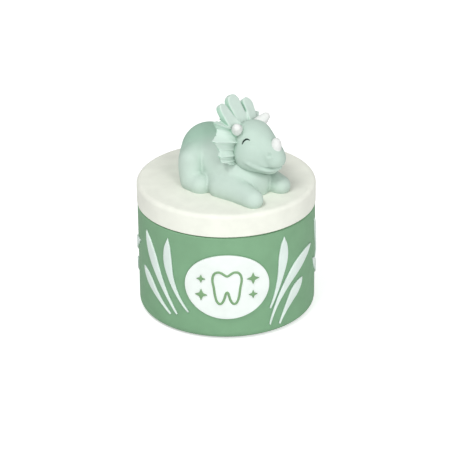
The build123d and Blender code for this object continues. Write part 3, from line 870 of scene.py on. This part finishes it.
class TOOTHBOX_OT_body(bpy.types.Operator):
    """Add the figure's body, legs and tail"""

    bl_idname = "toothbox.body"
    bl_label = "Body"

    def execute(self, context):
        sizes = context.scene.toothbox_figure
        place = figure_matrix(sizes)
        # The deeper mint over the upper side of the back is painted shade
        way = place.to_3x3() @ Vector(BACK_SHADE_WAY).normalized()
        start, full = (place.translation.dot(way) + edge * MM for edge in BACK_SHADE_EDGES)
        colour = context.scene.toothbox_finishes.mint
        # The body is painted darker in its hollows and where other parts close in on it, as shade
        mint = resin("mint_resin", colour, painted_shade=FIGURE_PAINTED_SHADE, over=(way, start, full))
        bm = bmesh.new()
        for chain in BODY_CHAINS:
            add_chain(bm, [BALLS[name] for name in chain])
        bm = sculpted(bm, sizes.grain, BODY_SKIN, sizes.body_passes)
        flatten_bottom(bm, -FIGURE_SINK * MM)
        bmesh.ops.transform(bm, matrix=place, verts=bm.verts)
        legs = ["hind_leg_right", "hind_leg_left", "foreleg_right", "foreleg_left"]
        finished(bm, "figure_body", "lid", mint, ["torso", "tail", *legs])
        return {"FINISHED"}


class TOOTHBOX_OT_head(bpy.types.Operator):
    """Add the head with its mouth and nostrils, and the closed eyes"""

    bl_idname = "toothbox.head"
    bl_label = "Head and Eyes"

    def execute(self, context):
        sizes = context.scene.toothbox_figure
        finishes = context.scene.toothbox_finishes
        bm = bmesh.new()
        for chain in HEAD_CHAINS:
            add_chain(bm, [HEAD_BALLS[name] for name in chain])
        bm = sculpted(bm, sizes.grain, HEAD_SKIN, sizes.head_passes)
        self.carve_mouth(bm, sizes)
        self.press_nostrils(bm)
        skin = BVHTree.FromBMesh(bm)
        bmesh.ops.transform(bm, matrix=head_matrix(sizes), verts=bm.verts)
        # The head is painted darker in its hollows and where other parts close in on it, as shade
        mint = resin("head_resin", finishes.head, painted_shade=FIGURE_PAINTED_SHADE)
        finished(bm, "figure_head", "lid", mint, ["head"])
        dark = resin("eye_paint", finishes.eye, grain=0.2, roughness=0.5)
        for side, name in ((1, "right"), (-1, "left")):
            self.add_eye(skin, side, sizes, f"closed_eye_{name}", dark, f"eye_{name}")
        return {"FINISHED"}

    def carve_mouth(self, bm, sizes):
        """Presses the line of the mouth in and lets the lip under it stand out."""
        right = [Vector(point) * MM for point in MOUTH_LINE]
        left = [Vector((p.x, -p.y, p.z)) for p in right[-2::-1]]
        line = right + left
        bm.normal_update()
        moves = []
        for vert in bm.verts:
            if vert.co.x < MOUTH_BACK * MM or vert.co.z > MOUTH_TOP * MM:
                continue
            distance, place = nearest_on_line(vert.co, line)
            if distance > MOUTH_REACH * MM:
                continue
            below = place.z - vert.co.z
            fade = smooth_step((place.x - CORNER_START * MM) / (CORNER_LENGTH * MM))
            groove = sizes.mouth_depth * bell(distance, 0, GROOVE_WIDTH * MM)
            lip = bell(below, LIP_DROP * MM, LIP_HEIGHT * MM) if below > 0 else 0
            lip *= bell(max(0.0, distance - LIP_REACH * MM), 0, LIP_FADE * MM)
            moves.append((vert, vert.normal * (sizes.lip * lip - groove) * fade))
        for vert, move in moves:
            vert.co += move

    def press_nostrils(self, bm):
        """Two shallow dimples with a faint raised rim."""
        bm.normal_update()
        for side in (1, -1):
            centre = Vector((NOSTRIL[0], side * NOSTRIL[1], NOSTRIL[2])) * MM
            for vert in bm.verts:
                distance = (vert.co - centre).length / MM
                if distance < NOSTRIL_REACH:
                    dimple = -DIMPLE_DEPTH * bell(distance, 0, DIMPLE_WIDTH)
                    rim = RIM_HEIGHT * bell(distance, RIM_RADIUS, RIM_WIDTH)
                    vert.co += vert.normal * (dimple + rim) * MM

    def add_eye(self, skin, side, sizes, name, finish, node):
        """A dark line along the closed lid, thinner towards its ends."""
        curve = bpy.data.curves.new(name, "CURVE")
        curve.dimensions = "3D"
        curve.bevel_depth = sizes.eye_line / 2
        curve.bevel_resolution = 3
        curve.resolution_u = 8
        curve.use_fill_caps = True
        spline = curve.splines.new("NURBS")
        last = len(EYE_LINE) - 1
        spline.points.add(last)
        spline.order_u = 3
        spline.use_endpoint_u = True
        for index, (x, y, z) in enumerate(EYE_LINE):
            spot = Vector((x, side * y, z)) * MM
            place, normal = skin.find_nearest(spot)[:2]
            place -= normal * EYE_SINK * MM
            share = (index + EYE_END_INSET) / (last + 2 * EYE_END_INSET)
            arch = math.sin(math.pi * share)
            spline.points[index].co = (*place, 1)
            spline.points[index].radius = EYE_END_WIDTH + (1 - EYE_END_WIDTH) * arch
        bm = mesh_of(show(curve, name))
        bmesh.ops.remove_doubles(bm, verts=bm.verts, dist=MEETING)
        bmesh.ops.transform(bm, matrix=head_matrix(sizes), verts=bm.verts)
        finished(bm, name, "lid", finish, [node])


class TOOTHBOX_OT_frill(bpy.types.Operator):
    """Add the frill: upright plates behind the head and a pleated side under them"""

    bl_idname = "toothbox.frill"
    bl_label = "Frill"

    def execute(self, context):
        sizes = context.scene.toothbox_figure
        bm = bmesh.new()
        for form in (self.plate(sizes, **SIDE_PLATE), self.pleated_side(sizes)):
            mirrored = form.copy()
            bmesh.ops.scale(mirrored, vec=(1, -1, 1), verts=mirrored.verts)
            lean = Matrix.Rotation(math.radians(-FRILL_LEAN), 3, "X")
            bmesh.ops.rotate(mirrored, cent=FRILL_CENTRE * MM, matrix=lean, verts=mirrored.verts)
            merge_into(bm, form)
            merge_into(bm, mirrored)
        merge_into(bm, self.plate(sizes, **MIDDLE_PLATE))
        bmesh.ops.recalc_face_normals(bm, faces=bm.faces)
        bm = sculpted(bm, sizes.grain, FRILL_SKIN, FRILL_PASSES)
        bmesh.ops.transform(bm, matrix=head_matrix(sizes), verts=bm.verts)
        # The frill's left walls are painted a deeper mint as shade, and its hollows darker as
        # painted shade
        left_walls = head_matrix(sizes).to_3x3() @ Vector((0, -1, 0))
        colour = context.scene.toothbox_finishes.frill
        mint = resin("frill_resin", colour, painted_shade=FIGURE_PAINTED_SHADE, facing=(left_walls, *FRILL_SHADE_FACING))
        finished(bm, "figure_frill", "lid", mint, ["frill"])
        return {"FINISHED"}

    def plate(self, sizes, line, widths, facing):
        """One upright plate: a strip along its line, flat in front, with bevelled sides and a round
        end."""
        points = [Vector(point) for point in line]
        stations = [index / (len(points) - 1) for index in range(len(points))]
        rows = [[point[axis] for point in points] for axis in range(3)]

        def at(station):
            return Vector([along_table(stations, row, station) for row in rows])

        bm, back = double_grid(*PLATE_GRID)
        thickness = sizes.plate / MM
        end = widths[1] * PLATE_END
        reach = (points[-1] - points[0]).length
        facing = Vector(facing)
        for vert in bm.verts:
            side, station = vert.co.x, (vert.co.y + 1) / 2
            ahead, behind = at(min(1, station + PLATE_STEP)), at(max(0, station - PLATE_STEP))
            along = (ahead - behind).normalized()
            front = (facing - along * along.dot(facing)).normalized()
            across = along.cross(front)
            left = (1 - station) * reach / end
            width = widths[0] + (widths[1] - widths[0]) * smooth_step(station / PLATE_WIDENING)
            half = width / 2 * (math.sqrt(max(0.0, 1 - (1 - left) ** 2)) if left < 1 else 1)
            slope = max(0.0, (abs(side) - (1 - BEVEL_WIDTH)) / BEVEL_WIDTH)
            proud = thickness * (0.5 - BEVEL_DEPTH * slope)
            depth = -thickness * 0.5 if vert in back else proud
            vert.co = (at(station) + across * side * half + front * depth) * MM
        return bm

    def pleated_side(self, sizes):
        """The right side: ridges that run out to points, with hollows between them."""
        spans = len(FRILL_RIBS) - 1
        bm, back = double_grid(PLEAT_GRID[0] * spans, PLEAT_GRID[1])
        for vert in bm.verts:
            at = (vert.co.x + 1) / 2 * spans
            station = (vert.co.y + 1) / 2 * (1 + RIB_ROOT) - RIB_ROOT
            index = min(int(at), spans - 1)
            share = at - index
            upper, lower = FRILL_RIBS[index], FRILL_RIBS[index + 1]
            root = Vector(upper[0]).lerp(Vector(lower[0]), share)
            tip = Vector(upper[1]).lerp(Vector(lower[1]), share)
            hollow = hump(share)
            tip += (root - tip).normalized() * HOLLOW_SETBACK * hollow
            ridge = upper[2] * (1 - share) ** 2 + lower[2] * share**2 - sizes.pleat / MM * hollow
            depth = ridge if vert not in back else sizes.web / MM * (WEB_THINNING * station - 1)
            vert.co = (root.lerp(tip, station) + Vector((depth, 0, 0))) * MM
        return bm


class TOOTHBOX_OT_horns(bpy.types.Operator):
    """Add the two brow horns and the nose horn"""

    bl_idname = "toothbox.horns"
    bl_label = "Horns"

    def execute(self, context):
        sizes = context.scene.toothbox_figure
        white = resin("horn_paint", context.scene.toothbox_finishes.horn, grain=0.5, roughness=0.55)
        for name, balls in HORNS.items():
            bm = bmesh.new()
            add_chain(bm, balls)
            bm = sculpted(bm, sizes.grain, HORN_SKIN, HORN_PASSES)
            bmesh.ops.transform(bm, matrix=head_matrix(sizes), verts=bm.verts)
            finished(bm, name, "lid", white, [HORN_NODES[name]])
        return {"FINISHED"}


class TOOTHBOX_OT_stage(bpy.types.Operator):
    """Add the floor, the lamps and the camera"""

    bl_idname = "toothbox.stage"
    bl_label = "Stage"

    def execute(self, context):
        settings = context.scene.toothbox_stage
        self.add_floor()
        for name, (place, size) in LAMPS.items():
            self.add_lamp(f"{name}_lamp", place, size, getattr(settings, name))
        self.set_world(settings.sky)
        self.add_camera(context.scene, settings)
        context.scene.view_settings.view_transform = "Standard"
        return {"FINISHED"}

    def add_floor(self):
        bm = bmesh.new()
        bmesh.ops.create_grid(bm, x_segments=1, y_segments=1, size=FLOOR_REACH)
        mesh = bpy.data.meshes.new("floor")
        bm.to_mesh(mesh)
        bm.free()
        material, tree, shader = new_material("white_floor", specular=0.0)
        seen = add_node(tree, "LightPath", {}).outputs["Is Camera Ray"]
        glow = add_node(tree, "Math", {0: seen, 1: FLOOR_GLOW}, operation="MULTIPLY")
        inputs = {
            "Base Color": (FLOOR_GREY, FLOOR_GREY, FLOOR_GREY, 1),
            "Roughness": 0.9,
            "Emission Color": (1, 1, 1, 1),
            "Emission Strength": glow.outputs["Value"],
        }
        feed(tree, shader, inputs)
        mesh.materials.append(material)
        show(mesh, "floor")

    def add_lamp(self, name, place, size, power):
        light = bpy.data.lights.new(name, "AREA")
        light.shape = "DISK"
        light.size = size
        light.energy = power
        lamp = bpy.data.objects.new(name, light)
        bpy.context.scene.collection.objects.link(lamp)
        turn = (LAMP_AIM - Vector(place)).to_track_quat("-Z", "Y").to_matrix().to_4x4()
        lamp.matrix_world = Matrix.Translation(place) @ turn

    def set_world(self, strength):
        world = bpy.data.worlds.new("surround")
        bpy.context.scene.world = world
        world.use_nodes = True
        tree = world.node_tree
        seen = add_node(tree, "LightPath", {}).outputs["Is Camera Ray"]
        level = map_range(tree, seen, 0.0, 1.0, strength, 1.0)
        feed(tree, tree.nodes["Background"], {"Color": (1, 1, 1, 1), "Strength": level})

    def add_camera(self, scene, settings):
        """The camera looks along +Y and down, a little to the right of and below the middle."""
        data = bpy.data.cameras.new("camera")
        data.lens = settings.lens
        data.sensor_width = 36
        data.clip_start = 0.01
        camera = bpy.data.objects.new("camera", data)
        scene.collection.objects.link(camera)
        up = Vector((0, math.sin(settings.elevation), math.cos(settings.elevation)))
        forward = Vector((0, math.cos(settings.elevation), -math.sin(settings.elevation)))
        place = MIDDLE - forward * settings.distance
        aim = MIDDLE + Vector((AIM_RIGHT, 0, 0)) - up * AIM_DOWN
        turn = (aim - place).to_track_quat("-Z", "Y").to_matrix().to_4x4()
        roll = Matrix.Rotation(settings.roll, 4, "Z")
        camera.matrix_world = Matrix.Translation(place) @ turn @ roll
        scene.camera = camera


class TOOTHBOX_PT_panel(bpy.types.Panel):
    """The milk tooth box's pieces and settings"""

    bl_label = "Milk Tooth Box"
    bl_idname = "TOOTHBOX_PT_panel"
    bl_space_type = "VIEW_3D"
    bl_region_type = "UI"
    bl_category = "Tooth Box"

    def draw(self, context):
        layout = self.layout
        for operator in OPERATORS:
            layout.operator(operator.bl_idname)
        for name in GROUPS:
            box = layout.box()
            group = getattr(context.scene, name)
            for field in group.__annotations__:
                box.prop(group, field)


OPERATORS = (
    TOOTHBOX_OT_box,
    TOOTHBOX_OT_label,
    TOOTHBOX_OT_leaves,
    TOOTHBOX_OT_body,
    TOOTHBOX_OT_head,
    TOOTHBOX_OT_frill,
    TOOTHBOX_OT_horns,
    TOOTHBOX_OT_stage,
)
GROUPS = {
    "toothbox_finishes": ToothBoxFinishes,
    "toothbox_reliefs": ToothBoxReliefs,
    "toothbox_figure": ToothBoxFigure,
    "toothbox_stage": ToothBoxStage,
}


def register():
    for group in GROUPS.values():
        bpy.utils.register_class(group)
    for cls in (*OPERATORS, TOOTHBOX_PT_panel):
        bpy.utils.register_class(cls)
    for name, group in GROUPS.items():
        setattr(bpy.types.Scene, name, PointerProperty(type=group))


def unregister():
    for name in GROUPS:
        delattr(bpy.types.Scene, name)
    for cls in (TOOTHBOX_PT_panel, *OPERATORS[::-1]):
        bpy.utils.unregister_class(cls)
    for group in GROUPS.values():
        bpy.utils.unregister_class(group)


def main():
    register()
    bpy.ops.toothbox.box()
    bpy.ops.toothbox.label()
    bpy.ops.toothbox.leaves()
    bpy.ops.toothbox.body()
    bpy.ops.toothbox.head()
    bpy.ops.toothbox.frill()
    bpy.ops.toothbox.horns()
    bpy.ops.toothbox.stage()


if __name__ == "__main__":
    main()
